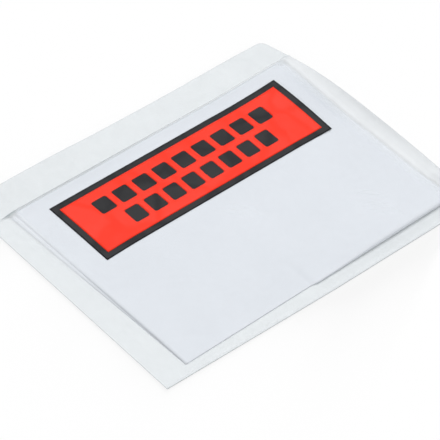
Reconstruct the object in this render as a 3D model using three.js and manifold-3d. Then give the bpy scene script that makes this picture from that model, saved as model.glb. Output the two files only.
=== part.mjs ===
// Clear self-adhesive document wallet, lying flat with one folded sheet of paper in its pocket.
//
// From the table up it is a release liner, the adhesive-backed rear film, the sheet folded once, and
// the front film. The front film is welded to the rear film along three edges and is open at the
// mouth, where the rear film and its liner run on as a flap. A black panel with a red field over it
// is printed on the front film, and the field leaves two rows of plain blocks open.
//
// Millimetres, +Z up. The origin is on the table under the middle of the wallet. +X runs along the
// mouth, and +Y points from the pocket's bottom edge to the flap.

import * as THREE from 'three';
import { mergeVertices } from 'three/addons/utils/BufferGeometryUtils.js';
import loadManifold from 'manifold-3d';

const { clamp, degToRad, lerp } = THREE.MathUtils;

// The folded sheet: A4 paper folded once across its length
const sheetLength = 210;
const sheetDepth = 148.5;
const paperThickness = 0.1;
const foldSkew = degToRad(0.5);
const foldRadiusLeft = 0.35;
const foldRadiusAtStep = 0.65;
const foldRadiusRight = 1.45;
const foldWidenRun = 60;
const foldStep = 1.1;
const foldStepFromLeft = 96;
const foldStepRun = 6;
const foldRun = 30;
const foldSegments = 6;
const foldToFirstRow = 4.6;
const edgeSpread = 0.5;
const middleSpread = 1.4;
const spreadRun = 45;

// The wallet around the sheet
const leftMargin = 18.9;
const rightMargin = 11.1;
const bottomMargin = 9.5;
const mouthOverlap = 1.5;
const flapDepth = 20.5;
const flapCornerRadius = 5;
const rightTaper = 8.3;
const rightTaperLength = 80;
const bottomSlant = 2.4;
const bottomSlantLength = 125;
const linerThickness = 0.1;
const filmThickness = 0.1;
const layerGap = 0.2;

// Where the front film leaves the sheet's edges and where it comes down on the rear film
const shoulderClearance = 1;
const foldShoulderClearance = 2;
const leftTentRun = 7.6;
const rightTentRun = 8;
const bottomTentRun = 4.4;
const lipLift = 0.3;
const lipRun = 7;

// Where the front film buckles up off the sheet, beside the print's right-hand end
const buckleHeight = 1.7;
const buckleFromRight = 24;
const buckleBelowMouth = 37;
const buckleHalfLength = 18;
const buckleHalfDepth = 40;

// How the wallet curls up from the table
const flapCurlLength = 28;
const flapCurlPower = 1.5;
const flapLift = 0.75;
const flapLowFromLeft = 147;
const flapRiseLeft = 2.4;
const flapRiseLeftRun = 115;
const flapRiseRight = 0.65;
const flapRiseRightRun = 60;
const rightCurl = 3.5;
const rightCurlLength = 13;
const rightCurlCrest = -2;
const rightCurlReach = 85;
const cornerLift = 2;
const cornerLiftStart = 70;
const cornerLiftRun = 60;
const cornerLiftBelowMouth = 58;
const cornerLiftDepthRun = 50;

// The printed panel
const panelLeftInset = 36.2;
const panelRightInset = 27.5;
const panelBelowMouth = 10.6;
const panelDepth = 52.3;
const panelBorder = 4.3;
const inkThickness = 0.08;
const blockHeight = 11.9;
const blockRowGap = 5.1;
const blockCornerRadius = 1.5;
const blockRows = [
  { count: 9, inset: 17, gap: 4.4 },
  { count: 8, inset: 28, gap: 4.4 },
];

// Mesh fineness
const gridStep = 13;
const flapGridStep = 8;
const outlineSegments = 8;
const blockCornerSegments = 2;
const cutterOverhang = 2;
const cutterHeight = 60;

const walletLength = leftMargin + sheetLength + rightMargin;
const walletDepth = bottomMargin + sheetDepth + mouthOverlap + flapDepth;
const left = -walletLength / 2;
const right = walletLength / 2;
const bottom = -walletDepth / 2;
const top = walletDepth / 2;
const mouth = top - flapDepth;
const sheetLeft = left + leftMargin;
const sheetRight = sheetLeft + sheetLength;
const sheetMiddle = (sheetLeft + sheetRight) / 2;
const sheetTop = mouth - mouthOverlap;
const foldEdge = sheetTop - sheetDepth;
const foldStepStart = sheetLeft + foldStepFromLeft;
const foldStepEnd = foldStepStart + foldStepRun;
const rearFilmHeight = linerThickness + layerGap;
const weldHeight = rearFilmHeight + filmThickness + layerGap;
const lowerLeafHeight = weldHeight + paperThickness / 2;

// Share of the way from one place to another, and the same with soft ends; either may run downwards
const ramp = (from, to, value) => clamp((value - from) / (to - from), 0, 1);
const smooth = (from, to, value) => {
  const share = ramp(from, to, value);
  return share * share * (3 - 2 * share);
};

// Height of the liner's underside above the table: flat in the middle and curled up at the flap, at
// the right-hand edge and at the pocket's corner between them
function tableGap(x, y) {
  const flapLow = left + flapLowFromLeft;
  const flapEdge = flapLift + flapRiseLeft * smooth(flapLow, flapLow - flapRiseLeftRun, x)
    + flapRiseRight * smooth(flapLow, flapLow + flapRiseRightRun, x);
  const flapShare = ramp(top - flapCurlLength, top, y) ** flapCurlPower;
  const curlShare = Math.max(0, 1 - ((y - rightCurlCrest) / rightCurlReach) ** 2);
  const sideCurl = rightCurl * curlShare * ramp(right - rightCurlLength, right, x) ** 2;
  const liftEdge = right - cornerLiftStart;
  const liftBottom = mouth - cornerLiftBelowMouth;
  const corner = cornerLift * smooth(liftEdge, liftEdge + cornerLiftRun, x)
    * smooth(liftBottom, liftBottom + cornerLiftDepthRun, y);
  return lerp(corner, flapEdge, flapShare) + sideCurl;
}

// The hairpin at the fold is tight on the left, where the paper was creased harder. It steps out at
// about the middle and widens from there to the right.
const pastFoldStep = (x) => smooth(foldStepStart, foldStepEnd, x);

function foldRadius(x) {
  const widened = smooth(foldStepEnd, foldStepEnd + foldWidenRun, x);
  return lerp(foldRadiusLeft, lerp(foldRadiusAtStep, foldRadiusRight, widened), pastFoldStep(x));
}

// The fold also runs slightly askew, so it isn't square to the sheet's sides
const foldLine = (x) => foldEdge + Math.tan(foldSkew) * (x - sheetMiddle) + foldStep * (1 - pastFoldStep(x));

// Distance between the two leaves of the sheet: the hairpin's width at the fold, the paper's own
// spring in the middle and the least along the free edges
function leafSpread(x, y) {
  const inwards = smooth(sheetLeft, sheetLeft + spreadRun, x)
    * smooth(sheetRight, sheetRight - spreadRun, x)
    * smooth(sheetTop, sheetTop - spreadRun, y);
  return lerp(
    2 * foldRadius(x),
    lerp(edgeSpread, middleSpread, inwards),
    smooth(foldEdge, foldEdge + foldRun, y),
  );
}

// A smooth hump, 1 at the centre and 0 past the reach
const hump = (value, centre, reach) => Math.max(0, 1 - ((value - centre) / reach) ** 2) ** 2;

// Height of the front film above its welds: level over the sheet, sloping down to the margins like a
// tent on three sides, lifted a little along the open mouth and buckled up beside the print
function frontFilmRise(x, y) {
  const shoulderLeft = sheetLeft - shoulderClearance;
  const shoulderRight = sheetRight + shoulderClearance;
  const shoulderBottom = foldEdge - foldShoulderClearance;
  const tent = smooth(shoulderLeft - leftTentRun, shoulderLeft, x)
    * smooth(shoulderRight + rightTentRun, shoulderRight, x)
    * smooth(shoulderBottom - bottomTentRun, shoulderBottom, y);
  const spread = leafSpread(clamp(x, sheetLeft, sheetRight), clamp(y, foldEdge, sheetTop));
  const lip = lipLift * ramp(mouth - lipRun, mouth, y) ** 2;
  const buckle = buckleHeight * hump(x, right - buckleFromRight, buckleHalfLength)
    * hump(y, mouth - buckleBelowMouth, buckleHalfDepth);
  return tent * (spread + paperThickness + layerGap + lip + buckle);
}

// Grid lines through every knot, with each span between knots divided into equal steps
function gridLines(knots, step) {
  const sorted = [...knots].sort((a, b) => a - b);
  const lines = [sorted[0]];
  for (let k = 1; k < sorted.length; k += 1) {
    const span = sorted[k] - sorted[k - 1];
    const cells = Math.max(1, Math.round(span / step));
    for (let cell = 1; cell <= cells; cell += 1) lines.push(sorted[k - 1] + (span * cell) / cells);
  }
  return lines;
}

const linesBetween = (lines, from, to) => [from, ...lines.filter((line) => line > from && line < to), to];

const columnLines = gridLines([
  left - cutterOverhang,
  sheetLeft - shoulderClearance - leftTentRun,
  sheetLeft - shoulderClearance,
  sheetLeft,
  foldStepStart,
  (foldStepStart + foldStepEnd) / 2,
  foldStepEnd,
  sheetRight,
  sheetRight + shoulderClearance,
  sheetRight + shoulderClearance + rightTentRun / 2,
  sheetRight + shoulderClearance + rightTentRun,
  right,
  right + cutterOverhang,
], gridStep);
const pocketRowLines = gridLines([
  bottom - cutterOverhang,
  foldEdge - foldShoulderClearance - bottomTentRun,
  foldEdge - foldShoulderClearance,
  foldEdge,
  foldEdge + foldToFirstRow,
  mouth - lipRun,
  sheetTop,
  mouth,
], gridStep);
const flapRowLines = gridLines([mouth, top + cutterOverhang], flapGridStep);
const rearRowLines = [...pocketRowLines, ...flapRowLines.slice(1)];

// Closed solid between two faces of a sheet, each given as a point for every column and row
function sheetGeometry(columns, rows, innerFace, outerFace) {
  const position = [];
  for (const face of [innerFace, outerFace]) {
    for (const row of rows) {
      for (const column of columns) position.push(...face(column, row));
    }
  }
  const corner = (i, j, face) => (face * rows.length + j) * columns.length + i;
  const index = [];
  const quad = (a, b, c, d) => index.push(a, b, c, a, c, d);
  const lastColumn = columns.length - 1;
  const lastRow = rows.length - 1;
  for (let i = 0; i < lastColumn; i += 1) {
    for (let j = 0; j < lastRow; j += 1) {
      quad(corner(i, j, 1), corner(i + 1, j, 1), corner(i + 1, j + 1, 1), corner(i, j + 1, 1));
      quad(corner(i, j, 0), corner(i, j + 1, 0), corner(i + 1, j + 1, 0), corner(i + 1, j, 0));
    }
    quad(corner(i, 0, 0), corner(i + 1, 0, 0), corner(i + 1, 0, 1), corner(i, 0, 1));
    quad(corner(i + 1, lastRow, 0), corner(i, lastRow, 0), corner(i, lastRow, 1), corner(i + 1, lastRow, 1));
  }
  for (let j = 0; j < lastRow; j += 1) {
    quad(corner(0, j + 1, 0), corner(0, j, 0), corner(0, j, 1), corner(0, j + 1, 1));
    quad(corner(lastColumn, j, 0), corner(lastColumn, j + 1, 0), corner(lastColumn, j + 1, 1),
      corner(lastColumn, j, 1));
  }
  const geometry = new THREE.BufferGeometry();
  geometry.setAttribute('position', new THREE.Float32BufferAttribute(position, 3));
  geometry.setIndex(index);
  return geometry;
}

// A sheet of even thickness whose underside has the given height over the grid
function levelSheet(columns, rows, height, thickness) {
  return sheetGeometry(
    columns,
    rows,
    (x, y) => [x, y, height(x, y)],
    (x, y) => [x, y, height(x, y) + thickness],
  );
}

const wasm = await loadManifold();
wasm.setup();

function toSolid(geometry) {
  geometry.deleteAttribute('normal');
  geometry.deleteAttribute('uv');
  const merged = mergeVertices(geometry);
  return new wasm.Manifold(new wasm.Mesh({
    numProp: 3,
    vertProperties: merged.attributes.position.array,
    triVerts: Uint32Array.from(merged.index.array),
  }));
}

function toGeometry(solid) {
  const mesh = solid.getMesh();
  const geometry = new THREE.BufferGeometry();
  geometry.setAttribute('position', new THREE.BufferAttribute(Float32Array.from(mesh.vertProperties), 3));
  geometry.setIndex(new THREE.BufferAttribute(Uint32Array.from(mesh.triVerts), 1));
  return geometry;
}

// An upright cutter of the given outline, tall enough to pass through every sheet
function cutter(shape, curveSegments) {
  const prism = new THREE.ExtrudeGeometry(shape, {
    depth: cutterHeight,
    curveSegments,
    bevelEnabled: false,
  });
  return toSolid(prism.translate(0, 0, -cutterHeight / 2));
}

// The die that cuts film and liner together: square corners at the pocket's bottom, where the cut
// slants in a little on the left, round ones at the flap, and a right-hand edge that leans in along a
// curve towards the flap
function walletOutline() {
  const curved = rightTaperLength - flapCornerRadius;
  const lean = (2 * rightTaper * flapCornerRadius) / curved;
  const cornerRight = right - rightTaper;
  const roundTop = top - flapCornerRadius;
  const shape = new THREE.Shape();
  shape.moveTo(left, bottom + bottomSlant);
  shape.lineTo(left + bottomSlantLength, bottom);
  shape.lineTo(right, bottom);
  shape.lineTo(right, top - rightTaperLength);
  shape.quadraticCurveTo(right, top - rightTaperLength + curved / 2, cornerRight, roundTop);
  shape.quadraticCurveTo(cornerRight - lean, top, cornerRight - lean - flapCornerRadius, top);
  shape.lineTo(left + flapCornerRadius, top);
  shape.absarc(left + flapCornerRadius, roundTop, flapCornerRadius, Math.PI / 2, Math.PI, false);
  return shape;
}

const walletDie = cutter(walletOutline(), outlineSegments);
const dieCut = (geometry) => toGeometry(toSolid(geometry).intersect(walletDie));

function makeMesh(name, geometry, material) {
  geometry.computeVertexNormals();
  const mesh = new THREE.Mesh(geometry, new THREE.MeshStandardMaterial({ metalness: 0, ...material }));
  mesh.name = name;
  return mesh;
}

function makeReleaseLiner() {
  return makeMesh('release_liner', dieCut(levelSheet(columnLines, rearRowLines, tableGap, linerThickness)), {
    color: 0xe9efef,
    roughness: 0.55,
  });
}

function makeRearFilm() {
  const film = dieCut(levelSheet(columnLines, rearRowLines, tableGap, filmThickness));
  const mesh = makeMesh('rear_film', film, {
    color: 0xeef4f4,
    roughness: 0.25,
    transparent: true,
    opacity: 0.5,
  });
  mesh.position.z = rearFilmHeight;
  return mesh;
}

// The sheet's section is a hairpin: the lower leaf, half a turn round the fold and the upper leaf.
// The skewed fold turns the lower leaf by twice the skew, so its left edge shows beside the upper one.
function makeDocument() {
  const turn = Math.tan(2 * foldSkew);
  const leafRows = linesBetween(pocketRowLines, foldEdge, sheetTop).slice(1);
  const lowerRows = leafRows.map((y) => ({ leaf: 'lower', share: (y - foldEdge) / sheetDepth }));
  const foldRows = [];
  for (let k = 0; k <= foldSegments; k += 1) {
    foldRows.push({ leaf: 'fold', angle: Math.PI * (k / foldSegments - 0.5) });
  }
  const upperRows = leafRows.map((y) => ({ leaf: 'upper', y }));
  const face = (offset) => (x, row) => {
    if (row.leaf === 'fold') {
      const radius = foldRadius(x);
      return [
        x,
        foldLine(x) + radius - (radius + offset) * Math.cos(row.angle),
        tableGap(x, foldEdge) + radius + (radius + offset) * Math.sin(row.angle),
      ];
    }
    if (row.leaf === 'upper') {
      return [x, row.y, tableGap(x, row.y) + leafSpread(x, row.y) + offset];
    }
    const depth = row.share * (2 * sheetDepth - (sheetTop - foldLine(x)));
    const leafX = x - turn * depth;
    const leafY = foldLine(x) + depth;
    return [leafX, leafY, tableGap(leafX, leafY) - offset];
  };
  const geometry = sheetGeometry(
    linesBetween(columnLines, sheetLeft, sheetRight),
    [...lowerRows.reverse(), ...foldRows, ...upperRows],
    face(-paperThickness / 2),
    face(paperThickness / 2),
  );
  const mesh = makeMesh('document', geometry, { color: 0xe4e9f1, roughness: 0.8 });
  mesh.position.z = lowerLeafHeight;
  return mesh;
}

const frontFilmHeight = (x, y) => tableGap(x, y) + frontFilmRise(x, y);

function makeFrontFilm() {
  const film = dieCut(levelSheet(columnLines, pocketRowLines, frontFilmHeight, filmThickness));
  return makeMesh('front_film', film, {
    color: 0xf2f7f7,
    roughness: 0.15,
    transparent: true,
    opacity: 0.35,
  });
}

// A skin of ink on the front film, inset by the given border from the panel's edges
function inkSheet(border) {
  const panelTop = mouth - panelBelowMouth;
  return levelSheet(
    linesBetween(columnLines, left + panelLeftInset + border, right - panelRightInset - border),
    linesBetween(pocketRowLines, panelTop - panelDepth + border, panelTop - border),
    frontFilmHeight,
    inkThickness,
  );
}

function makeBlackPanel() {
  return makeMesh('print_black_panel', inkSheet(0), { color: 0x2b2b2d, roughness: 0.35 });
}

function roundedBlock(x, y, width, height, radius) {
  const shape = new THREE.Shape();
  shape.moveTo(x, y + radius);
  shape.absarc(x + radius, y + height - radius, radius, Math.PI, Math.PI / 2, true);
  shape.absarc(x + width - radius, y + height - radius, radius, Math.PI / 2, 0, true);
  shape.absarc(x + width - radius, y + radius, radius, 0, -Math.PI / 2, true);
  shape.absarc(x + radius, y + radius, radius, -Math.PI / 2, -Math.PI, true);
  return shape;
}

// The red field is cut through in two rows of plain blocks, where the black panel shows
function makeRedField() {
  const fieldLeft = left + panelLeftInset + panelBorder;
  const fieldRight = right - panelRightInset - panelBorder;
  const fieldMiddle = mouth - panelBelowMouth - panelDepth / 2;
  let field = toSolid(inkSheet(panelBorder));
  blockRows.forEach(({ count, inset, gap }, row) => {
    const width = (fieldRight - fieldLeft - 2 * inset - (count - 1) * gap) / count;
    const y = row === 0 ? fieldMiddle + blockRowGap / 2 : fieldMiddle - blockRowGap / 2 - blockHeight;
    const radius = Math.min(blockCornerRadius, width / 4, blockHeight / 4);
    for (let k = 0; k < count; k += 1) {
      const x = fieldLeft + inset + k * (width + gap);
      const block = roundedBlock(x, y, width, blockHeight, radius);
      field = field.subtract(cutter(block, blockCornerSegments));
    }
  });
  return makeMesh('print_red_field', toGeometry(field), { color: 0xfb4a38, roughness: 0.35 });
}

const pocketFront = new THREE.Group();
pocketFront.position.z = weldHeight;
pocketFront.add(makeFrontFilm());

const blackPanel = makeBlackPanel();
blackPanel.position.z = filmThickness + layerGap;
const redField = makeRedField();
redField.position.z = blackPanel.position.z + inkThickness + layerGap;
pocketFront.add(blackPanel, redField);

const wallet = new THREE.Group();
wallet.add(makeReleaseLiner(), makeRearFilm(), makeDocument(), pocketFront);

export default wallet;
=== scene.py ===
"""Clear document wallet with one folded sheet in its pocket, lying flat: its looks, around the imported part.

The pieces follow in the order in which the wallet is put together: release liner, rear film, folded
sheet, front film, and the black and red print. Every sheet is a closed skin of its own thickness, laid
over the same curled-up base surface. Where that bends, the liner and the rear film cross by about
0.02 mm, and so do the two inks, because their meshes differ.
"""

import math

import bpy
import numpy as np
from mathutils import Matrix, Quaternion, Vector
from mathutils.geometry import delaunay_2d_cdt


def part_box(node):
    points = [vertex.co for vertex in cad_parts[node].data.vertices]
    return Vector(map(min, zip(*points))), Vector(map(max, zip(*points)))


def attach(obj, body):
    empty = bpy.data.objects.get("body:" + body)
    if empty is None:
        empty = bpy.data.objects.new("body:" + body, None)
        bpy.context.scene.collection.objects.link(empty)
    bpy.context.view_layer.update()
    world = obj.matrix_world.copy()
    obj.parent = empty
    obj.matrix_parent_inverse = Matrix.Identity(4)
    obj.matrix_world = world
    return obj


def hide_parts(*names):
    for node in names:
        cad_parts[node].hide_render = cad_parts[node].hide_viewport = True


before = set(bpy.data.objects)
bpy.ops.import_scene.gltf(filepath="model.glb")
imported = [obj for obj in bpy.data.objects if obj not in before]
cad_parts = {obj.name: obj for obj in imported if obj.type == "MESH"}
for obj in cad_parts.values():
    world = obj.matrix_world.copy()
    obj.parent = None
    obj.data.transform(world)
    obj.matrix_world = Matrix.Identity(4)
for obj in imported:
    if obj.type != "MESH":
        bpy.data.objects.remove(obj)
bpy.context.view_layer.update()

mm = 0.001

# Camera: a long lens from the pocket's bottom left, looking down at about 45 degrees and turned a
# little about its axis. Its lens length is chosen for a square picture.
aim = Vector((-10.6, -8.2, 0)) * mm
azimuth = math.radians(-45.7)
elevation = math.radians(45.57)
roll = math.radians(5.69)
distance = 1742.8 * mm
sensor_width_mm = 36
lens_length_mm = 245.45

camera_data = bpy.data.cameras.new("camera")
camera_data.sensor_width = sensor_width_mm
camera_data.lens = lens_length_mm
camera = bpy.data.objects.new("camera", camera_data)
back = Vector((
    math.sin(azimuth) * math.cos(elevation),
    -math.cos(azimuth) * math.cos(elevation),
    math.sin(elevation),
))
camera.location = aim + back * distance
camera.rotation_mode = "QUATERNION"
camera.rotation_quaternion = back.to_track_quat("Z", "Y") @ Quaternion((0, 0, 1), roll)
bpy.context.collection.objects.link(camera)
bpy.context.scene.camera = camera
bpy.context.scene.view_settings.view_transform = "Standard"

# Studio: a white sweep that shows as plain white, an even dome of light and one broad soft lamp from
# behind the flap. A second lamp skims the table and lights only the table.
dome_light = 0.56
key_light = 0.44
skim_light = 0.09
table_shade = 0.8
table_size = 6
table_drop = 0.05 * mm

world = bpy.data.worlds.new("dome")
bpy.context.scene.world = world
world.use_nodes = True
# A ray crosses both faces of each film, on its way in and again on its way out
bpy.context.scene.cycles.transparent_max_bounces = 32


def add_node(tree, kind, **settings):
    """A node of this kind. A setting names an input socket, or else one of the node's own options."""
    made = tree.nodes.new(kind)
    for name, value in settings.items():
        socket = made.inputs.get(name.replace("_", " "))
        if socket is None:
            setattr(made, name, value)
        elif isinstance(value, bpy.types.NodeSocket):
            tree.links.new(value, socket)
        else:
            socket.default_value = value
    return made


def maths(tree, operation, first, second=None):
    """The result of one sum on sockets or numbers."""
    made = tree.nodes.new("ShaderNodeMath")
    made.operation = operation
    for socket, value in zip(made.inputs, (first, second)):
        if isinstance(value, bpy.types.NodeSocket):
            tree.links.new(value, socket)
        elif value is not None:
            socket.default_value = value
    return made.outputs[0]


def seen_directly(tree):
    """1 for rays that show the backdrop, straight, in gloss or through glass, and 0 for rays that light."""
    path = tree.nodes.new("ShaderNodeLightPath").outputs
    either = maths(tree, "MAXIMUM", path["Is Camera Ray"], path["Is Glossy Ray"])
    return maths(tree, "MAXIMUM", either, path["Is Transmission Ray"])


dome = world.node_tree
background = dome.nodes["Background"]
background.inputs["Color"].default_value = (1, 1, 1, 1)
extra = maths(dome, "MULTIPLY", seen_directly(dome), 1 - dome_light)
dome.links.new(maths(dome, "ADD", extra, dome_light), background.inputs["Strength"])


def add_sun(name, share, towards, height, spread):
    """A lamp far away, at this height and in this direction from +X, all in degrees.

    share is what it adds to a level white surface.
    """
    rise = math.radians(height)
    turn = math.radians(towards)
    lamp_data = bpy.data.lights.new(name, "SUN")
    lamp_data.energy = share * math.pi / math.sin(rise)
    lamp_data.angle = math.radians(spread)
    lamp = bpy.data.objects.new(name, lamp_data)
    source = Vector((math.cos(turn) * math.cos(rise), math.sin(turn) * math.cos(rise), math.sin(rise)))
    lamp.rotation_mode = "QUATERNION"
    lamp.rotation_quaternion = source.to_track_quat("Z", "Y")
    lamp.location = source * distance
    bpy.context.collection.objects.link(lamp)
    return lamp


add_sun("key_lamp", key_light, towards=48, height=62, spread=45)
skim_lamp = add_sun("skim_lamp", skim_light, towards=28, height=2.2, spread=4.2)

half = table_size / 2
table_mesh = bpy.data.meshes.new("table")
corners = [(-half, -half), (half, -half), (half, half), (-half, half)]
table_mesh.from_pydata([(x, y, -table_drop) for x, y in corners], [], [(0, 1, 2, 3)])
table = bpy.data.objects.new("table", table_mesh)
bpy.context.collection.objects.link(table)
lit_by_skim = bpy.data.collections.new("lit_by_skim")
lit_by_skim.objects.link(table)
skim_lamp.light_linking.receiver_collection = lit_by_skim

table_material = bpy.data.materials.new("white_sweep")
table_material.use_nodes = True
sweep = table_material.node_tree
sweep.nodes.clear()
matt = add_node(sweep, "ShaderNodeBsdfDiffuse", Color=(table_shade, table_shade, table_shade, 1))
lit_level = table_shade * (dome_light + key_light + skim_light)
missing_level = maths(sweep, "MULTIPLY", seen_directly(sweep), 1 - lit_level)
glow = add_node(sweep, "ShaderNodeEmission", Strength=missing_level)
both = sweep.nodes.new("ShaderNodeAddShader")
sweep.links.new(matt.outputs[0], both.inputs[0])
sweep.links.new(glow.outputs[0], both.inputs[1])
sweep.links.new(both.outputs[0], add_node(sweep, "ShaderNodeOutputMaterial").inputs["Surface"])
table_mesh.materials.append(table_material)

# Release liner: glassine paper with a silicone coat, pale and a little translucent, die-cut to the
# wallet's outline. It lies under the adhesive, and the whole wallet curls up from the table with it:
# at the flap, along the right-hand edge and at the pocket's corner between them.
low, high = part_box("release_liner")
left, bottom = low.x, low.y
right, top = high.x, high.y
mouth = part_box("front_film")[1].y

liner_thickness = 0.06 * mm
layer_gap = 0.02 * mm
flap_round = 5 * mm
right_taper = 8.3 * mm
right_taper_length = 80 * mm
bottom_slant = 2.4 * mm
bottom_slant_length = 125 * mm
flap_curl_depth = 28 * mm
flap_low_from_left = 147 * mm
flap_rise = 0.75 * mm
flap_rise_left = 2.4 * mm
flap_rise_left_length = 115 * mm
flap_rise_right = 0.65 * mm
flap_rise_right_length = 60 * mm
right_curl_rise = 3.5 * mm
right_curl_width = 13 * mm
right_curl_middle = -2 * mm
right_curl_reach = 85 * mm
corner_rise = 2 * mm
# How far the corner's rise starts and ends from the right-hand cut, and from the mouth
corner_from_right = (70 * mm, 10 * mm)
corner_from_mouth = (58 * mm, 8 * mm)
wave_height = 0.35 * mm
wave_sizes = (26 * mm, 19 * mm)
wavelet_height = 0.16 * mm
wavelet_sizes = (9 * mm, 6 * mm)
liner_step = 2 * mm
rim_lines = np.array([0, 0.4, 1, 2]) * mm
# How far in from each cut the grid's lines bend to follow it
bent_left = 15 * mm
bent_right = 36 * mm
bent_bottom = 15 * mm
round_lines = 9
cloud_low = 0.35
cloud_high = 0.65


def ramp(start, end, value):
    """Share of the way from start to end, which may run downwards."""
    return np.clip((value - start) / (end - start), 0, 1)


def smooth(start, end, value):
    """The same share, with a soft start and end."""
    share = ramp(start, end, value)
    return share * share * (3 - 2 * share)


def blend(first, second, share):
    """first where the share is 0, second where it is 1, and a mix between."""
    return first + (second - first) * share


def soft_noise(x, y, size_x, size_y, seed):
    """Smooth bumps between 0 and 1 over the plane, about size_x by size_y each."""
    cells = 64
    heights = np.random.default_rng(seed).random((cells, cells))
    u = np.asarray(x, float) / size_x + cells / 2
    v = np.asarray(y, float) / size_y + cells / 2
    i = np.floor(u).astype(int)
    j = np.floor(v).astype(int)
    s = (u - i) ** 2 * (3 - 2 * (u - i))
    t = (v - j) ** 2 * (3 - 2 * (v - j))
    near = blend(heights[i % cells, j % cells], heights[(i + 1) % cells, j % cells], s)
    far = blend(heights[i % cells, (j + 1) % cells], heights[(i + 1) % cells, (j + 1) % cells], s)
    return blend(near, far, t)


def base_height(x, y):
    """Height of the liner's underside above the table."""
    flap_low = left + flap_low_from_left
    rise_left = flap_rise_left * smooth(flap_low, flap_low - flap_rise_left_length, x)
    rise_right = flap_rise_right * smooth(flap_low, flap_low + flap_rise_right_length, x)
    flap_edge = flap_rise + rise_left + rise_right
    flap_share = ramp(top - flap_curl_depth, top, y) ** 1.5
    crest = np.maximum(0, 1 - ((y - right_curl_middle) / right_curl_reach) ** 2)
    right_curl = right_curl_rise * crest * ramp(right - right_curl_width, right, x) ** 1.6
    corner = corner_rise * smooth(right - corner_from_right[0], right - corner_from_right[1], x)
    corner = corner * smooth(mouth - corner_from_mouth[0], mouth - corner_from_mouth[1], y)
    waves = wave_height * soft_noise(x, y, *wave_sizes, seed=3)
    waves = waves + wavelet_height * soft_noise(x, y, *wavelet_sizes, seed=4)
    return blend(corner, flap_edge, flap_share) + right_curl + waves * smooth(mouth, top, y)


def cut_left(y):
    """The left-hand cut edge, round at the flap's corner."""
    into = np.clip(y - (top - flap_round), 0, flap_round)
    return left + flap_round - np.sqrt(flap_round**2 - into**2)


def cut_right(y):
    """The right-hand cut edge, which leans in along a curve towards the flap and ends in a round corner."""
    curved = right_taper_length - flap_round
    lean = 2 * right_taper * flap_round / curved
    share = ramp(top - right_taper_length, top - flap_round, y)
    turn = 1 - np.sqrt(1 - np.clip((y - (top - flap_round)) / flap_round, 0, 1))
    corner = 2 * lean * turn * (1 - turn) + (lean + flap_round) * turn**2
    return right - right_taper * share**2 - corner


def cut_bottom(x):
    """The bottom cut edge."""
    return bottom + bottom_slant * ramp(left + bottom_slant_length, left, x)


def grid_lines(knots, step):
    """Lines through every knot, evenly spaced between them and no further apart than step."""
    spans = [
        np.linspace(start, end, max(1, math.ceil((end - start) / step - 1e-6)) + 1)[:-1]
        for start, end in zip(knots, knots[1:])
    ]
    return np.append(np.concatenate(spans), knots[-1])


def wallet_grid(last_row, step):
    """x and y of a grid over the wallet up to last_row. Its lines crowd at the cut edges and follow them."""
    columns = grid_lines([*(left + rim_lines), *(right - rim_lines[::-1])], step)
    round_rows = top - flap_round + flap_round * np.sin(np.linspace(0, math.pi / 2, round_lines))
    inner_rows = [*(bottom + rim_lines), *(mouth - rim_lines[::-1])]
    if last_row > mouth:
        inner_rows += [top - flap_round]
    rows = grid_lines(inner_rows, step)
    if last_row > mouth:
        rows = np.append(rows, round_rows[1:])
    x, y = np.meshgrid(columns, rows)
    near_left = left + bent_left
    near_right = right - bent_right
    x = np.where(x < near_left, blend(cut_left(y), near_left, (x - left) / (near_left - left)), x)
    x = np.where(x > near_right, blend(near_right, cut_right(y), (x - near_right) / (right - near_right)), x)
    near_bottom = bottom + bent_bottom
    share = (y - bottom) / (near_bottom - bottom)
    y = np.where(y < near_bottom, blend(cut_bottom(x), near_bottom, share), y)
    return x, y


def grid_faces(count_x, count_y):
    """Quads of a grid whose points run row by row, seen from above."""
    i, j = np.meshgrid(np.arange(count_x - 1), np.arange(count_y - 1))
    first = (j * count_x + i).ravel()
    return np.stack([first, first + 1, first + count_x + 1, first + count_x], axis=1)


def link_piece(name, mesh, material, node):
    """Put the mesh in the scene, to stand for the CAD node and ride with it."""
    piece = bpy.data.objects.new(name, mesh)
    bpy.context.collection.objects.link(piece)
    mesh.materials.append(material)
    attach(piece, "root")
    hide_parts(node)


def skin(name, faces, inner, outer, masks=None):
    """A closed mesh between two faces of a sheet, with a wall round every free edge.

    The points of the two faces match one to one. Each mask is kept as a value at every point.
    """
    count = len(inner)
    edges = np.concatenate([faces[:, [k, (k + 1) % faces.shape[1]]] for k in range(faces.shape[1])])
    keys = edges[:, 0].astype(np.int64) * count + edges[:, 1]
    back_keys = edges[:, 1].astype(np.int64) * count + edges[:, 0]
    free = edges[~np.isin(keys, back_keys)]
    walls = np.stack([free[:, 0], free[:, 1], free[:, 1] + count, free[:, 0] + count], axis=1)
    mesh = bpy.data.meshes.new(name)
    mesh.from_pydata(
        np.concatenate([inner, outer]).tolist(),
        [],
        (faces + count).tolist() + faces[:, ::-1].tolist() + walls.tolist(),
    )
    smooth_faces = np.arange(len(mesh.polygons)) < 2 * len(faces)
    mesh.polygons.foreach_set("use_smooth", smooth_faces)
    for mask_name, values in (masks or {}).items():
        layer = mesh.attributes.new(mask_name, "FLOAT", "POINT")
        layer.data.foreach_set("value", np.tile(np.asarray(values, float).ravel(), 2).astype(np.float32))
    mesh.validate()
    return mesh


def level_points(x, y, z):
    """The grid's points as rows of x, y and z."""
    return np.stack([x.ravel(), y.ravel(), np.broadcast_to(z, x.shape).ravel()], axis=1)


def cut_edges(x, y, last_row, reach, weights):
    """The weight of each cut edge, left, right, bottom and last row, fading inwards over the reach."""
    inside = (x - cut_left(y), cut_right(y) - x, y - cut_bottom(x), last_row - y)
    return np.max([w * np.exp(-np.maximum(d, 0) / reach) for w, d in zip(weights, inside)], axis=0)


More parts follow.
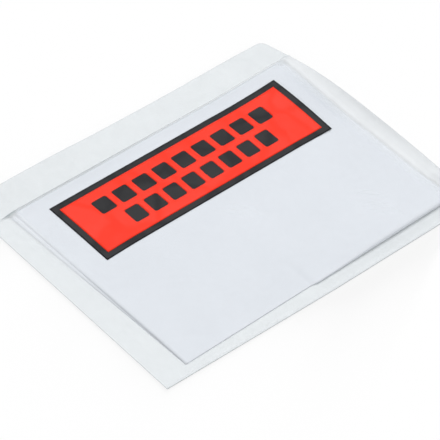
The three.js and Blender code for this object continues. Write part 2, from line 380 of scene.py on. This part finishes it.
def fibre_group():
    """Paper: soft clouds where the pulp is thicker, and a fine fibre over them."""
    group = bpy.data.node_groups.new("paper_fibre", "ShaderNodeTree")
    group.interface.new_socket("Cloud Size", in_out="INPUT", socket_type="NodeSocketFloat")
    group.interface.new_socket("Fibre Size", in_out="INPUT", socket_type="NodeSocketFloat")
    group.interface.new_socket("Cloud", in_out="OUTPUT", socket_type="NodeSocketFloat")
    group.interface.new_socket("Fibre", in_out="OUTPUT", socket_type="NodeSocketFloat")
    given = group.nodes.new("NodeGroupInput").outputs
    place = group.nodes.new("ShaderNodeTexCoord").outputs["Object"]
    cloud_scale = maths(group, "DIVIDE", 1, given["Cloud Size"])
    fibre_scale = maths(group, "DIVIDE", 1, given["Fibre Size"])
    cloud = add_node(group, "ShaderNodeTexNoise", Vector=place, Scale=cloud_scale, Detail=3)
    fibre = add_node(
        group, "ShaderNodeTexNoise", Vector=place, Scale=fibre_scale, Detail=5, Roughness=0.7, Distortion=0.8
    )
    put_out = group.nodes.new("NodeGroupOutput")
    group.links.new(cloud.outputs["Fac"], put_out.inputs["Cloud"])
    group.links.new(fibre.outputs["Fac"], put_out.inputs["Fibre"])
    return group


def paper_material(name, dark, pale, roughness, cloud_size, fibre_size, bump):
    """Paper whose colour wanders a little between dark and pale, with a fine fibre in its surface."""
    material = bpy.data.materials.new(name)
    material.use_nodes = True
    tree = material.node_tree
    shader = tree.nodes["Principled BSDF"]
    shader.inputs["Roughness"].default_value = roughness
    fibre = add_node(tree, "ShaderNodeGroup", node_tree=paper_fibre)
    fibre.inputs["Cloud Size"].default_value = cloud_size
    fibre.inputs["Fibre Size"].default_value = fibre_size
    share = maths(tree, "MULTIPLY", maths(tree, "ADD", fibre.outputs["Cloud"], fibre.outputs["Fibre"]), 0.5)
    tone = add_node(tree, "ShaderNodeMapRange", Value=share)
    tone.inputs["From Min"].default_value = cloud_low
    tone.inputs["From Max"].default_value = cloud_high
    colour = add_node(tree, "ShaderNodeMix", data_type="RGBA")
    tree.links.new(tone.outputs[0], colour.inputs["Factor"])
    colour.inputs[6].default_value = (*dark, 1)
    colour.inputs[7].default_value = (*pale, 1)
    tree.links.new(colour.outputs[2], shader.inputs["Base Color"])
    relief = add_node(tree, "ShaderNodeBump", Strength=0.5, Distance=bump, Height=fibre.outputs["Fibre"])
    tree.links.new(relief.outputs[0], shader.inputs["Normal"])
    return material


paper_fibre = fibre_group()
liner_paper = paper_material(
    "glassine", dark=(0.755, 0.785, 0.80), pale=(0.79, 0.82, 0.835), roughness=0.5,
    cloud_size=14 * mm, fibre_size=1.2 * mm, bump=0.02 * mm,
)
x, y = wallet_grid(top, liner_step)
ground = base_height(x, y)
link_piece(
    "liner_sheet",
    skin(
        "liner_sheet", grid_faces(x.shape[1], x.shape[0]),
        level_points(x, y, ground), level_points(x, y, ground + liner_thickness),
    ),
    liner_paper, "release_liner",
)

# Rear film: clear polythene with the adhesive on its underside, as large as the liner, so that it
# forms the flap strip past the pocket's mouth. The adhesive makes it faintly milky and uneven.
film_thickness = 0.05 * mm
film_step = 1.4 * mm
rear_film_height = liner_thickness + layer_gap
film_ior = 1.6
edge_reach = 0.5 * mm
crease_shift = 9 * mm
crease_cells = 0.8
crease_line = 0.12
crease_relief = 0.12
crease_matt = 0.1


def crinkle_group():
    """Thin film: broad soft buckles, and fine sharp creases where it has been handled."""
    group = bpy.data.node_groups.new("film_crinkle", "ShaderNodeTree")
    group.interface.new_socket("Size", in_out="INPUT", socket_type="NodeSocketFloat")
    group.interface.new_socket("Buckle", in_out="OUTPUT", socket_type="NodeSocketFloat")
    group.interface.new_socket("Crease", in_out="OUTPUT", socket_type="NodeSocketFloat")
    given = group.nodes.new("NodeGroupInput").outputs
    place = group.nodes.new("ShaderNodeTexCoord").outputs["Object"]
    scale = maths(group, "DIVIDE", 1, given["Size"])
    buckle = add_node(group, "ShaderNodeTexNoise", Vector=place, Scale=scale, Detail=2, Distortion=1.2)
    bent = add_node(
        group, "ShaderNodeVectorMath", operation="SCALE", Vector=buckle.outputs["Color"], Scale=crease_shift
    )
    moved = add_node(group, "ShaderNodeVectorMath", operation="ADD")
    group.links.new(place, moved.inputs[0])
    group.links.new(bent.outputs[0], moved.inputs[1])
    cells = add_node(
        group, "ShaderNodeTexVoronoi", feature="DISTANCE_TO_EDGE", Vector=moved.outputs[0],
        Scale=maths(group, "MULTIPLY", scale, crease_cells),
    )
    crease = add_node(group, "ShaderNodeMapRange", Value=cells.outputs["Distance"])
    crease.interpolation_type = "SMOOTHSTEP"
    crease.inputs["From Max"].default_value = crease_line
    crease.inputs["To Min"].default_value = 1
    crease.inputs["To Max"].default_value = 0
    put_out = group.nodes.new("NodeGroupOutput")
    group.links.new(buckle.outputs["Fac"], put_out.inputs["Buckle"])
    group.links.new(crease.outputs[0], put_out.inputs["Crease"])
    return group


def film_material(name, colour, painted_shade_colour, clear_alpha, haze, painted_shade_alpha, roughness, size, bump):
    """Clear film with a gloss: hazy in clouds, whiter where its haze-and-painted-light mask is set, and
    painted grey where its painted-shade mask is set.
    """
    material = bpy.data.materials.new(name)
    material.use_nodes = True
    tree = material.node_tree
    shader = tree.nodes["Principled BSDF"]
    shader.inputs["IOR"].default_value = film_ior
    crinkle = add_node(tree, "ShaderNodeGroup", node_tree=film_crinkle)
    crinkle.inputs["Size"].default_value = size
    # Painted shade: a grey mask over the film's cut edges, the mouth and the mouth's two ends
    painted_shade_mask = add_node(tree, "ShaderNodeAttribute", attribute_name="painted_shade_mask").outputs["Fac"]
    # A whiter haze along the creases, and painted light where the front film lifts shade
    haze_and_painted_light = add_node(tree, "ShaderNodeAttribute", attribute_name="haze_and_painted_light").outputs["Fac"]
    tint = add_node(tree, "ShaderNodeMix", data_type="RGBA")
    tree.links.new(painted_shade_mask, tint.inputs["Factor"])
    tint.inputs[6].default_value = (*colour, 1)
    tint.inputs[7].default_value = (*painted_shade_colour, 1)
    tree.links.new(tint.outputs[2], shader.inputs["Base Color"])
    haze_and_light_alpha = maths(tree, "ADD", maths(tree, "MULTIPLY", crinkle.outputs["Buckle"], haze), haze_and_painted_light)
    painted_shade_opacity = maths(tree, "MULTIPLY", painted_shade_mask, painted_shade_alpha)
    alpha = maths(tree, "ADD", maths(tree, "ADD", haze_and_light_alpha, painted_shade_opacity), clear_alpha)
    tree.links.new(maths(tree, "MINIMUM", alpha, 1), shader.inputs["Alpha"])
    rough = maths(tree, "ADD", maths(tree, "MULTIPLY", crinkle.outputs["Crease"], crease_matt), roughness)
    tree.links.new(rough, shader.inputs["Roughness"])
    sharp = maths(tree, "MULTIPLY", crinkle.outputs["Crease"], crease_relief)
    height = maths(tree, "ADD", crinkle.outputs["Buckle"], sharp)
    relief = add_node(tree, "ShaderNodeBump", Strength=0.6, Distance=bump, Height=height)
    tree.links.new(relief.outputs[0], shader.inputs["Normal"])
    return material


film_crinkle = crinkle_group()
rear_film_material = film_material(
    "adhesive_film", colour=(0.90, 0.93, 0.95), painted_shade_colour=(0.45, 0.50, 0.52), clear_alpha=0.08, haze=0.08,
    painted_shade_alpha=0.35, roughness=0.3, size=16 * mm, bump=0.35 * mm,
)
x, y = wallet_grid(top, film_step)
ground = base_height(x, y) + rear_film_height
link_piece(
    "rear_film_sheet",
    skin(
        "rear_film_sheet", grid_faces(x.shape[1], x.shape[0]),
        level_points(x, y, ground), level_points(x, y, ground + film_thickness),
        # Painted shade: the rear film is greyed along its cut edges, most of all at the bottom
        masks={"painted_shade_mask": cut_edges(x, y, top, edge_reach, weights=(0.03, 0.2, 0.5, 0.2))},
    ),
    rear_film_material, "rear_film",
)

# Document: one A4 sheet of white office paper, folded once and slid in with its fold along the
# pocket's bottom edge. The fold is a hairpin, tighter on the left, a little askew and 1 mm off the
# sheet's middle, so the lower leaf is the shorter one and shows past the upper one's left edge.
sheet_length = 210 * mm
sheet_depth = 148.5 * mm
paper_thickness = 0.1 * mm
fold_skew = math.radians(0.5)
fold_off_middle = 1 * mm
fold_radius_left = 0.2 * mm
fold_radius_middle = 0.65 * mm
fold_radius_right = 1.45 * mm
fold_widening = 60 * mm
fold_step_depth = 1.1 * mm
fold_step_from_left = 96 * mm
fold_step_length = 6 * mm
fold_reach = 30 * mm
leaves_apart = 1.7 * mm
leaves_apart_at_fold = 0.8 * mm
leaves_apart_at_mouth = 0.15 * mm
leaf_rim = 45 * mm
mouth_rim = 20 * mm
free_edge_lift = 0.5 * mm
free_edge_depth = 10 * mm
lean_at_fold = -1 * mm
lean_at_mouth = 1.2 * mm
lean_reach = 100 * mm
tuck_depth = 1.5 * mm
lower_leaf_turn = math.radians(1.4)
fold_segments = 14
fold_rows = 4
first_row = 4.6 * mm
paper_step = 2 * mm
fold_step = 0.5 * mm
lower_leaf_height = rear_film_height + film_thickness + layer_gap + paper_thickness / 2

sheet_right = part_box("document")[1].x
sheet_left = sheet_right - sheet_length
sheet_middle = sheet_right - sheet_length / 2
sheet_top = mouth - tuck_depth + fold_off_middle
fold_edge = sheet_top - fold_off_middle - sheet_depth
step_start = sheet_left + fold_step_from_left
step_end = step_start + fold_step_length


def past_step(x):
    """0 to the left of the place where the fold steps out, and 1 to the right of it."""
    return smooth(step_start, step_end, x)


def fold_radius(x):
    """Radius of the hairpin's inside, which widens to the right."""
    wide = blend(fold_radius_middle, fold_radius_right, smooth(step_end, step_end + fold_widening, x))
    return blend(fold_radius_left, wide, past_step(x))


def fold_line(x):
    """y of the fold."""
    return fold_edge + math.tan(fold_skew) * (x - sheet_middle) + fold_step_depth * (1 - past_step(x))


def leaf_spread(x, y):
    """Distance between the sheet's two leaves."""
    inwards = smooth(sheet_left, sheet_left + leaf_rim, x) * smooth(sheet_right, sheet_right - leaf_rim, x)
    inwards = inwards * smooth(sheet_top, sheet_top - leaf_rim, y)
    up = smooth(fold_edge, sheet_top - mouth_rim, y)
    edge_spread = blend(leaves_apart_at_fold, leaves_apart_at_mouth, up)
    lift = free_edge_lift * ramp(sheet_top - free_edge_depth, sheet_top, y) ** 2
    open_spread = blend(edge_spread, leaves_apart, inwards) + lift
    return blend(2 * fold_radius(x), open_spread, smooth(fold_edge, fold_edge + fold_reach, y))


def lean(x, y):
    """How far the sheet's left-hand part leans out at the mouth and in at the fold."""
    share = (y - fold_edge) / (sheet_top - fold_edge)
    return blend(lean_at_fold, lean_at_mouth, share) * smooth(sheet_left + lean_reach, sheet_left, x)


def document_points(offset):
    """The sheet's mid-surface moved out by the offset, and the faces between its points.

    The rows run from the lower leaf's free edge round the fold to the upper leaf's free edge.
    """
    columns = np.concatenate([
        grid_lines([sheet_left, step_start], paper_step)[:-1],
        grid_lines([step_start, step_end], fold_step),
        grid_lines([step_end, sheet_right], paper_step)[1:],
    ])
    depths = grid_lines([fold_edge + first_row, sheet_top], paper_step)
    turn = math.tan(lower_leaf_turn)
    rows = []
    for y in [*depths[::-1], fold_edge + first_row / 2]:
        share = (y - fold_edge) / (sheet_top - fold_edge)
        depth = share * (2 * sheet_depth - (sheet_top - fold_line(columns)))
        leaf_x = columns - turn * depth
        leaf_y = fold_line(columns) + depth
        rows.append((leaf_x, leaf_y, base_height(leaf_x, leaf_y) - offset))
    radius = fold_radius(columns)
    for angle in np.linspace(-math.pi / 2, math.pi / 2, fold_segments + 1):
        fold_y = fold_line(columns) + radius - (radius + offset) * math.cos(angle)
        fold_z = base_height(columns, fold_edge) + radius + (radius + offset) * math.sin(angle)
        rows.append((columns, fold_y, fold_z))
    turned, lifted = rows[-1][1], rows[-1][2]
    for share in np.linspace(0, 1, fold_rows + 2)[1:-1]:
        leaf_y = blend(turned, depths[0], share)
        leaf_z = base_height(columns, leaf_y) + leaf_spread(columns, leaf_y) + offset
        rows.append((columns, leaf_y, blend(lifted, leaf_z, smooth(0, 1, share))))
    for y in depths:
        leaf_y = np.full_like(columns, y)
        rows.append((columns, leaf_y, base_height(columns, leaf_y) + leaf_spread(columns, leaf_y) + offset))
    points = np.concatenate([np.stack(row, axis=1) for row in rows])
    points[:, 0] -= lean(points[:, 0], points[:, 1])
    points[:, 2] += lower_leaf_height
    return points, grid_faces(len(columns), len(rows))


document_paper = paper_material(
    "office_paper", dark=(0.73, 0.765, 0.815), pale=(0.765, 0.80, 0.85), roughness=0.85,
    cloud_size=45 * mm, fibre_size=1.5 * mm, bump=0.03 * mm,
)
inner_points, faces = document_points(-paper_thickness / 2)
outer_points, faces = document_points(paper_thickness / 2)
link_piece(
    "folded_document", skin("folded_document", faces, inner_points, outer_points),
    document_paper, "document",
)

# Front film: clear polythene welded to the rear film at the left, right and bottom edges and open at
# the mouth. It lies on the sheet and comes down to the welds like a tent on three sides.
shoulder = 1 * mm
fold_shoulder = 2 * mm
tent_left = 7.6 * mm
tent_right = 8 * mm
tent_bottom = 4.4 * mm
film_gap = 0.05 * mm
lip_rise = 0.3 * mm
lip_depth = 7 * mm
lip_reach = 0.9 * mm
buckle_height = 1.7 * mm
buckle_from_right = 24 * mm
buckle_half_width = 18 * mm
buckle_from_mouth = 37 * mm
buckle_half_length = 40 * mm
ripple_height = 0.16 * mm
ripple_sizes = (13 * mm, 8 * mm)
wrinkle_height = 0.07 * mm
wrinkle_sizes = (5 * mm, 4 * mm)
ripple_rim_right = 14 * mm
ripple_rim_mouth = 8 * mm
crease_height = 0.004 * mm
crease_width = 1.1 * mm
# Painted shade: how dark the line along the mouth stays at its right end, and how dark the shadows in the
# mouth's two end gaps are
mouth_shade_right = 0.5
# How far in from the sheet's two side edges the painted shade along the mouth starts and ends its change
mouth_fade = (50 * mm, 20 * mm)
left_pucker_shadow = 1.2
right_pucker_shadow = 0.45
crease_haze = 0.08
# Painted light: how much the front film is whitened over the sheet's right edge, along the curled right band
# and beside the sheet's left edge, to lift their shade
right_bend_painted_light = 0.2
right_band_painted_light = 0.45
left_lower_painted_light = 0.14
left_upper_painted_light = 0.12
# Middle in mm, radius in mm and the directions from the middle in degrees between which it runs
film_creases = [
    ((45, -73), 30.5, -14, 60), ((45, -73), 25, 0, 50), ((45, -73), 38, 20, 66), ((-16, -24), 26, -10, 64),
    ((-16, -24), 21, 10, 70),
]


def tent(x, y):
    """1 over the sheet and 0 on the welds."""
    start_left = sheet_left - shoulder
    start_right = sheet_right + shoulder
    start_bottom = fold_edge - fold_shoulder
    across = smooth(start_left - tent_left, start_left, x) * smooth(start_right + tent_right, start_right, x)
    return across * smooth(start_bottom - tent_bottom, start_bottom, y)


def hump(value, centre, reach):
    """A smooth hump, 1 at the centre and 0 past the reach."""
    return np.maximum(0, 1 - ((value - centre) / reach) ** 2) ** 2


def arc_crease(x, y, centre, radius, start, end):
    """1 on the crest of an arc between two directions in degrees, fading to its sides and ends."""
    away = np.hypot(x - centre[0] * mm, y - centre[1] * mm) - radius * mm
    turn = np.degrees(np.arctan2(y - centre[1] * mm, x - centre[0] * mm))
    return np.exp(-((away / crease_width) ** 2)) * hump(turn, (start + end) / 2, (end - start) / 2)


def creases(x, y):
    """The film's creases, where handling has bent it."""
    return np.max([arc_crease(x, y, *crease) for crease in film_creases], axis=0)


def looseness(x, y):
    """How far the front film stands off the sheet: a buckle beside the print, ripples and creases."""
    buckle = buckle_height * hump(x, right - buckle_from_right, buckle_half_width)
    buckle = buckle * hump(y, mouth - buckle_from_mouth, buckle_half_length)
    ripples = ripple_height * soft_noise(x, y, *ripple_sizes, seed=11) ** 2
    ripples = ripples + wrinkle_height * soft_noise(x, y, *wrinkle_sizes, seed=12) ** 2
    ripples = ripples * smooth(sheet_right, sheet_right - ripple_rim_right, x)
    ripples = ripples * smooth(mouth, mouth - ripple_rim_mouth, y)
    return buckle + ripples + crease_height * creases(x, y)


def front_film_height(x, y):
    """Height of the front film's underside."""
    over_x = np.clip(x, sheet_left, sheet_right)
    over_y = np.clip(y, fold_edge, sheet_top)
    lip = lip_rise * ramp(mouth - lip_depth, mouth, y) ** 2
    weld = rear_film_height + film_thickness + layer_gap
    sheet = lower_leaf_height + leaf_spread(over_x, over_y) + paper_thickness / 2
    return base_height(x, y) + blend(weld, sheet + film_gap + lip + looseness(x, y), tent(x, y))


def soft_spot(x, y, centre_x, centre_y, reach_x, reach_y):
    """A soft spot, 1 at its centre."""
    return np.exp(-((x - centre_x) / reach_x) ** 2 - ((y - centre_y) / reach_y) ** 2)


def front_film_painted_shade(x, y):
    """Painted shade on the front film: along its cut edges, most of all along the mouth under its lifted lip,
    and painted shadows in the mouth's two end gaps.
    """
    edges = cut_edges(x, y, mouth, edge_reach, weights=(0.03, 0.1, 0.5, 0))
    to_right = smooth(sheet_left + mouth_fade[0], sheet_right - mouth_fade[1], x)
    mouth_weight = blend(1, mouth_shade_right, to_right)
    lip = mouth_weight * smooth(left, sheet_left, x) * np.exp(-(((mouth - y) / lip_reach) ** 2))
    # Painted shadows in the gaps at the mouth's two ends, where the film rises off the sheet's corners
    left_pucker = soft_spot(x, y, sheet_left - 3.6 * mm, mouth - 0.7 * mm, reach_x=3 * mm, reach_y=1 * mm)
    right_pucker = soft_spot(x, y, sheet_right - 1.7 * mm, mouth - 2.6 * mm, reach_x=3.4 * mm, reach_y=1.2 * mm)
    puckers = left_pucker_shadow * left_pucker + right_pucker_shadow * right_pucker
    return np.clip(edges + lip + puckers, 0, 1)


def front_film_haze_and_painted_light(x, y):
    """Where the front film is whiter: a haze along its creases, and painted light that lifts the shade over
    both side edges of the sheet and over the curled right band.
    """
    right_bend = right_bend_painted_light * hump(x, sheet_right - 1 * mm, 6 * mm)
    right_band = right_band_painted_light * smooth(sheet_right - 1 * mm, sheet_right + 3 * mm, x)
    upper_part = smooth(fold_edge + 50 * mm, sheet_top - 20 * mm, y)
    left_lower = left_lower_painted_light * hump(x, sheet_left - 3 * mm, 4 * mm)
    left_upper = left_upper_painted_light * hump(x, sheet_left - 1 * mm, 4 * mm)
    left_bend = upper_part * (left_lower + left_upper)
    return np.clip(crease_haze * creases(x, y) + right_bend + right_band + left_bend, 0, 1)


front_film_material = film_material(
    "clear_film", colour=(0.94, 0.965, 0.985), painted_shade_colour=(0.40, 0.45, 0.47), clear_alpha=0.03, haze=0.05,
    painted_shade_alpha=0.5, roughness=0.28, size=22 * mm, bump=0.5 * mm,
)
x, y = wallet_grid(mouth, film_step)
ground = front_film_height(x, y)
link_piece(
    "front_film_sheet",
    skin(
        "front_film_sheet", grid_faces(x.shape[1], x.shape[0]),
        level_points(x, y, ground), level_points(x, y, ground + film_thickness),
        masks={"painted_shade_mask": front_film_painted_shade(x, y), "haze_and_painted_light": front_film_haze_and_painted_light(x, y)},
    ),
    front_film_material, "front_film",
)

# Black print: the panel's ground, screened on the front film. It shows as the border and, through
# the openings in the red, as two rows of plain blocks.
ink_thickness = 0.03 * mm
ink_gap = 0.03 * mm
ink_step = 1.2 * mm
ink_gloss = 0.12
ink_crease_matt = 0.15
ink_relief = 0.5 * mm
ink_cloud_size = 22 * mm


def ink_material(name, dark, pale, roughness):
    """Printing ink on film: an even coat with a satin gloss, a little thinner in clouds."""
    material = bpy.data.materials.new(name)
    material.use_nodes = True
    tree = material.node_tree
    shader = tree.nodes["Principled BSDF"]
    shader.inputs["Specular IOR Level"].default_value = ink_gloss
    crinkle = add_node(tree, "ShaderNodeGroup", node_tree=film_crinkle)
    crinkle.inputs["Size"].default_value = ink_cloud_size
    colour = add_node(tree, "ShaderNodeMix", data_type="RGBA")
    tree.links.new(crinkle.outputs["Buckle"], colour.inputs["Factor"])
    colour.inputs[6].default_value = (*dark, 1)
    colour.inputs[7].default_value = (*pale, 1)
    tree.links.new(colour.outputs[2], shader.inputs["Base Color"])
    rough = maths(tree, "ADD", maths(tree, "MULTIPLY", crinkle.outputs["Crease"], ink_crease_matt), roughness)
    tree.links.new(rough, shader.inputs["Roughness"])
    relief = add_node(
        tree, "ShaderNodeBump", Strength=0.6, Distance=ink_relief, Height=crinkle.outputs["Buckle"]
    )
    tree.links.new(relief.outputs[0], shader.inputs["Normal"])
    return material


black_low, black_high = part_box("print_black_panel")
columns = grid_lines([black_low.x, black_high.x], ink_step)
rows = grid_lines([black_low.y, black_high.y], ink_step)
x, y = np.meshgrid(columns, rows)
black_height = front_film_height(x, y) + film_thickness + ink_gap
link_piece(
    "black_print",
    skin(
        "black_print", grid_faces(len(columns), len(rows)),
        level_points(x, y, black_height), level_points(x, y, black_height + ink_thickness),
    ),
    ink_material("black_ink", dark=(0.005, 0.005, 0.007), pale=(0.01, 0.01, 0.012), roughness=0.3),
    "print_black_panel",
)

# Red print: the field over the black ground, left open in two rows of plain blocks.
block_height = 11.9 * mm
block_row_gap = 5.1 * mm
block_round = 1.5 * mm
block_gap = 4.4 * mm
block_corner_points = 7
block_clearance = 0.3 * mm
# How many blocks a row has, and how far it starts from the field's ends
block_rows = [(9, 17 * mm), (8, 28 * mm)]
red_low, red_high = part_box("print_red_field")


def block_boxes():
    """Left, bottom, width and height of every block, row by row from the mouth."""
    middle = (red_low.y + red_high.y) / 2
    for row, (count, inset) in enumerate(block_rows):
        width = (red_high.x - red_low.x - 2 * inset - (count - 1) * block_gap) / count
        foot = middle + block_row_gap / 2 if row == 0 else middle - block_row_gap / 2 - block_height
        for k in range(count):
            yield red_low.x + inset + k * (width + block_gap), foot, width, block_height


def block_loop(x, y, width, height):
    """Points round a block with round corners."""
    loop = []
    centres = [(x + width, y), (x + width, y + height), (x, y + height), (x, y)]
    for k, (corner_x, corner_y) in enumerate(centres):
        start = (k - 1) * math.pi / 2
        centre_x = np.clip(corner_x, x + block_round, x + width - block_round)
        centre_y = np.clip(corner_y, y + block_round, y + height - block_round)
        for angle in np.linspace(start, start + math.pi / 2, block_corner_points):
            loop.append((centre_x + block_round * math.cos(angle), centre_y + block_round * math.sin(angle)))
    return loop


def inside_block(x, y, margin):
    """True where a point lies in a block grown by the margin."""
    found = np.zeros(np.shape(x), bool)
    for foot_x, foot_y, width, height in block_boxes():
        away_x = np.abs(x - foot_x - width / 2) - width / 2 + block_round
        away_y = np.abs(y - foot_y - height / 2) - height / 2 + block_round
        beyond = np.hypot(np.maximum(away_x, 0), np.maximum(away_y, 0))
        found |= beyond + np.minimum(np.maximum(away_x, away_y), 0) < block_round + margin
    return found


def red_field_mesh():
    """The field as triangles, with every block left open."""
    columns = grid_lines([red_low.x, red_high.x], ink_step)
    rows = grid_lines([red_low.y, red_high.y], ink_step)
    x, y = (values.ravel() for values in np.meshgrid(columns, rows))
    clear = ~inside_block(x, y, block_clearance)
    points = list(zip(x[clear], y[clear]))
    edges = []
    for box in block_boxes():
        loop = block_loop(*box)
        first = len(points)
        points += loop
        edges += [(first + k, first + (k + 1) % len(loop)) for k in range(len(loop))]
    flat, _, triangles, *_ = delaunay_2d_cdt([Vector(p) for p in points], edges, [], 0, 1e-7)
    flat = np.array([tuple(p) for p in flat])
    triangles = np.array(triangles)
    middles = flat[triangles].mean(axis=1)
    triangles = triangles[~inside_block(middles[:, 0], middles[:, 1], 0)]
    x = flat[:, 0]
    y = flat[:, 1]
    height = front_film_height(x, y) + film_thickness + 2 * ink_gap + ink_thickness
    under = level_points(x, y, height)
    over = level_points(x, y, height + ink_thickness)
    return skin("red_print", triangles, under, over)


link_piece(
    "red_print", red_field_mesh(),
    ink_material("red_ink", dark=(0.96, 0.029, 0.007), pale=(1, 0.04, 0.013), roughness=0.3),
    "print_red_field",
)
